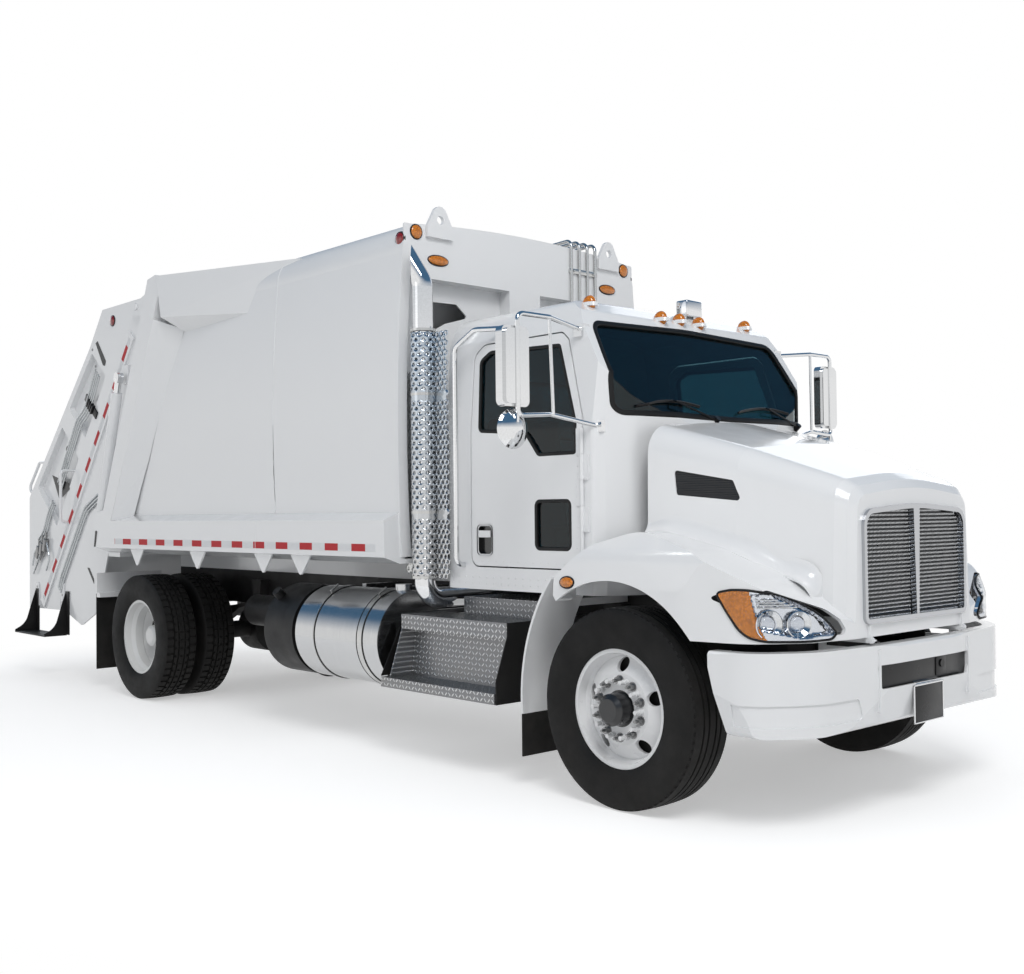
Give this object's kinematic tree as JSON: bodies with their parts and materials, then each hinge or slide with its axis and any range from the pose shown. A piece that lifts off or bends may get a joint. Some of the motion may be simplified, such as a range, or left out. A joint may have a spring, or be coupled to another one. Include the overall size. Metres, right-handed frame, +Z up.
{
  "type": "rear-loading garbage truck",
  "caption": "Long-nosed rear-loading refuse truck with a ribbed packer body, lifting hopper tailgate, sliding packer, tilting hood and opening doors.",
  "frame": {"origin": "bottom centre of the bounding box, on the ground", "axes": "+X forward, +Y to the truck's left, +Z up"},
  "size_m": [8.9954, 3.0702, 3.4319],
  "materials": {
    "white_paint": "gloss white paint",
    "black_paint": "satin black paint",
    "cast_metal": "cast iron",
    "bumper_paint": "gloss white paint",
    "tread_plate": "raised tread plate",
    "polished_metal": "polished",
    "chrome": "bright chrome",
    "stainless": "brushed",
    "glazing": "tinted",
    "lamp_glass": "clear",
    "rubber": "matt",
    "tyre": "black",
    "cab_trim": "dark trim"
  },
  "bodies": {
    "chassis": {"frame_rails": "black_paint", "front_axle": "black_paint", "rear_axle": "black_paint", "leaf_springs": "black_paint", "drive_shaft": "black_paint", "engine_block": "cast_metal", "radiator": "black_paint", "front_bumper": "bumper_paint", "fuel_tank": "polished_metal", "urea_tank": "black_paint", "air_tanks": "black_paint", "side_steps": "tread_plate", "cab_shell": "white_paint", "cab_glass": "glazing", "seats": "cab_trim", "dashboard": "cab_trim", "exhaust_stack": "chrome", "exhaust_shield": "stainless", "grab_rails": "chrome", "mirrors": "polished_metal", "quarter_fenders": "white_paint", "mudflaps": "rubber", "body_floor": "white_paint", "body_sides": "white_paint", "body_roof": "white_paint", "body_bulkhead": "white_paint", "body_rear_frame": "white_paint", "hydraulic_tubes": "stainless"},
    "hood": {"hood": "white_paint", "grille": "chrome", "headlamps": "lamp_glass"},
    "door_right": {"door_right": "white_paint", "door_glass_right": "glazing"},
    "door_left": {"door_left": "white_paint", "door_glass_left": "glazing"},
    "knuckle_right": {"knuckle_right": "black_paint"},
    "knuckle_left": {"knuckle_left": "black_paint"},
    "front_wheel_right": {"front_wheel_right": "white_paint", "front_tyre_right": "tyre"},
    "front_wheel_left": {"front_wheel_left": "white_paint", "front_tyre_left": "tyre"},
    "rear_wheels_right": {"rear_wheels_right": "white_paint", "rear_tyres_right": "tyre"},
    "rear_wheels_left": {"rear_wheels_left": "white_paint", "rear_tyres_left": "tyre"},
    "tailgate": {"tailgate_frame": "white_paint", "tailgate_hopper": "white_paint", "riding_steps": "white_paint", "grab_loops": "white_paint", "slide_barrels": "black_paint"},
    "lift_barrel_right": {"lift_barrel_right": "white_paint"},
    "lift_rod_right": {"lift_rod_right": "chrome"},
    "lift_barrel_left": {"lift_barrel_left": "white_paint"},
    "lift_rod_left": {"lift_rod_left": "chrome"},
    "carrier": {"carrier_panel": "black_paint"},
    "packer_blade": {"packer_blade": "black_paint"},
    "packer_barrels": {"packer_barrels": "black_paint"},
    "packer_rods": {"packer_rods": "chrome"},
    "ejector": {"ejector_panel": "black_paint"}
  },
  "joints": [
    {"name": "hood_tilt", "type": "hinge", "parent": "chassis", "child": "hood", "pos_m": [4.45275, 0, 0.862], "axis": [0, 1, 0], "range_deg": [0, 60]},
    {"name": "door_right_swing", "type": "hinge", "parent": "chassis", "child": "door_right", "pos_m": [3.03875, -0.9615, 1.6], "axis": [0, 0, 1], "range_deg": [0, 65]},
    {"name": "door_left_swing", "type": "hinge", "parent": "chassis", "child": "door_left", "pos_m": [3.03875, 0.9615, 1.6], "axis": [0, 0, -1], "range_deg": [0, 65]},
    {"name": "steer_right", "type": "hinge", "parent": "chassis", "child": "knuckle_right", "pos_m": [3.45275, -0.8, 0.505], "axis": [0, 0, 1], "range_deg": [-33, 33]},
    {"name": "steer_left", "type": "hinge", "parent": "chassis", "child": "knuckle_left", "pos_m": [3.45275, 0.8, 0.505], "axis": [0, 0, 1], "range_deg": [-33, 33]},
    {"name": "front_wheel_right_spin", "type": "hinge", "parent": "knuckle_right", "child": "front_wheel_right", "pos_m": [3.45275, -1.035, 0.505], "axis": [0, 1, 0], "continuous": true},
    {"name": "front_wheel_left_spin", "type": "hinge", "parent": "knuckle_left", "child": "front_wheel_left", "pos_m": [3.45275, 1.035, 0.505], "axis": [0, 1, 0], "continuous": true},
    {"name": "rear_wheels_right_spin", "type": "hinge", "parent": "chassis", "child": "rear_wheels_right", "pos_m": [-1.76725, -1.075, 0.505], "axis": [0, 1, 0], "continuous": true},
    {"name": "rear_wheels_left_spin", "type": "hinge", "parent": "chassis", "child": "rear_wheels_left", "pos_m": [-1.76725, 1.075, 0.505], "axis": [0, 1, 0], "continuous": true},
    {"name": "tailgate_lift", "type": "hinge", "parent": "chassis", "child": "tailgate", "pos_m": [-1.92725, 0, 3.23], "axis": [0, 1, 0], "range_deg": [0, 90]},
    {"name": "lift_barrel_right_swing", "type": "hinge", "parent": "chassis", "child": "lift_barrel_right", "pos_m": [-2.57725, -1.165, 1.44], "axis": [0, -1, 0], "range_deg": [0, 15.48]},
    {"name": "lift_rod_right_slide", "type": "slide", "parent": "lift_barrel_right", "child": "lift_rod_right", "axis": [0.2974, 0, 0.9548], "range_m": [0, 0.7857]},
    {"name": "lift_barrel_left_swing", "type": "hinge", "parent": "chassis", "child": "lift_barrel_left", "pos_m": [-2.57725, 1.165, 1.44], "axis": [0, -1, 0], "range_deg": [0, 15.48]},
    {"name": "lift_rod_left_slide", "type": "slide", "parent": "lift_barrel_left", "child": "lift_rod_left", "axis": [0.2974, 0, 0.9548], "range_m": [0, 0.7857]},
    {"name": "carrier_slide", "type": "slide", "parent": "tailgate", "child": "carrier", "axis": [-0.6347, 0, -0.7727], "range_m": [0, 0.85]},
    {"name": "packer_swing", "type": "hinge", "parent": "carrier", "child": "packer_blade", "pos_m": [-2.90414, 0, 2.02681], "axis": [0, 1, 0], "range_deg": [0, 85]},
    {"name": "packer_barrels_swing", "type": "hinge", "parent": "carrier", "child": "packer_barrels", "pos_m": [-2.39304, 0, 2.9011], "axis": [0, -1, 0], "range_deg": [0, 0.87]},
    {"name": "packer_rods_slide", "type": "slide", "parent": "packer_barrels", "child": "packer_rods", "axis": [0.6615, 0, 0.75], "range_m": [0, 0.3532]},
    {"name": "ejector_slide", "type": "slide", "parent": "chassis", "child": "ejector", "axis": [-1, 0, 0], "range_m": [0, 3]}
  ],
  "couplings": [
    {"joint": "steer_left", "follows": "steer_right", "ratio": 1},
    {"joint": "lift_barrel_right_swing", "follows": "tailgate_lift", "ratio": 0.16752},
    {"joint": "lift_rod_right_slide", "follows": "tailgate_lift", "m_per_rad": 0.49895},
    {"joint": "lift_barrel_left_swing", "follows": "tailgate_lift", "ratio": 0.16752},
    {"joint": "lift_rod_left_slide", "follows": "tailgate_lift", "m_per_rad": 0.49895},
    {"joint": "packer_barrels_swing", "follows": "packer_swing", "ratio": 0.005525},
    {"joint": "packer_rods_slide", "follows": "packer_swing", "m_per_rad": 0.23674}
  ]
}
